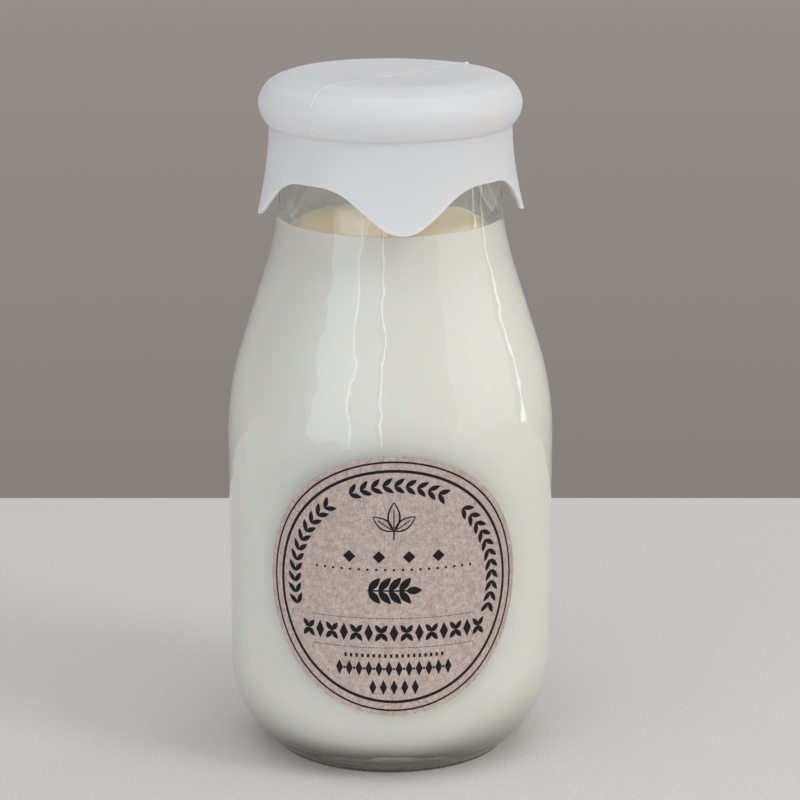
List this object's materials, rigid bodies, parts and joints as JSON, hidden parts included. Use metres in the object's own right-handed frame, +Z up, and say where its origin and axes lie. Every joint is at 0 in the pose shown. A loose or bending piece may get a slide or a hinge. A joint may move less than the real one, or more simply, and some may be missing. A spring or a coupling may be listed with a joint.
{
  "type": "bottle candle",
  "caption": "Milk-bottle-shaped clear glass jar filled with pale soy wax, with a round paper label and a soft white lift-off cap with a petal skirt.",
  "frame": {"origin": "centre of the base, on the surface that the bottle stands on", "axes": "+Z up along the bottle's axis, -Y towards the front label, +X to the label's right"},
  "size_m": [0.0786, 0.0791, 0.165],
  "materials": {
    "clear_glass": "polished",
    "soy_wax": "satin",
    "cotton_wick": "matte",
    "tinned_steel": "satin",
    "adhesive_pad": "matte",
    "kraft_paper": "matte",
    "soft_vinyl": "satin"
  },
  "bodies": {
    "bottle": {"glass_bottle": "clear_glass", "wax_fill": "soy_wax", "wick": "cotton_wick", "wick_sustainer": "tinned_steel", "wick_sticker": "adhesive_pad", "front_label": "kraft_paper"},
    "cap": {"cap": "soft_vinyl"}
  },
  "joints": [
    {"name": "cap_lift", "type": "slide", "parent": "bottle", "child": "cap", "axis": [0, 0, 1], "range_m": [0, 0.045]}
  ]
}
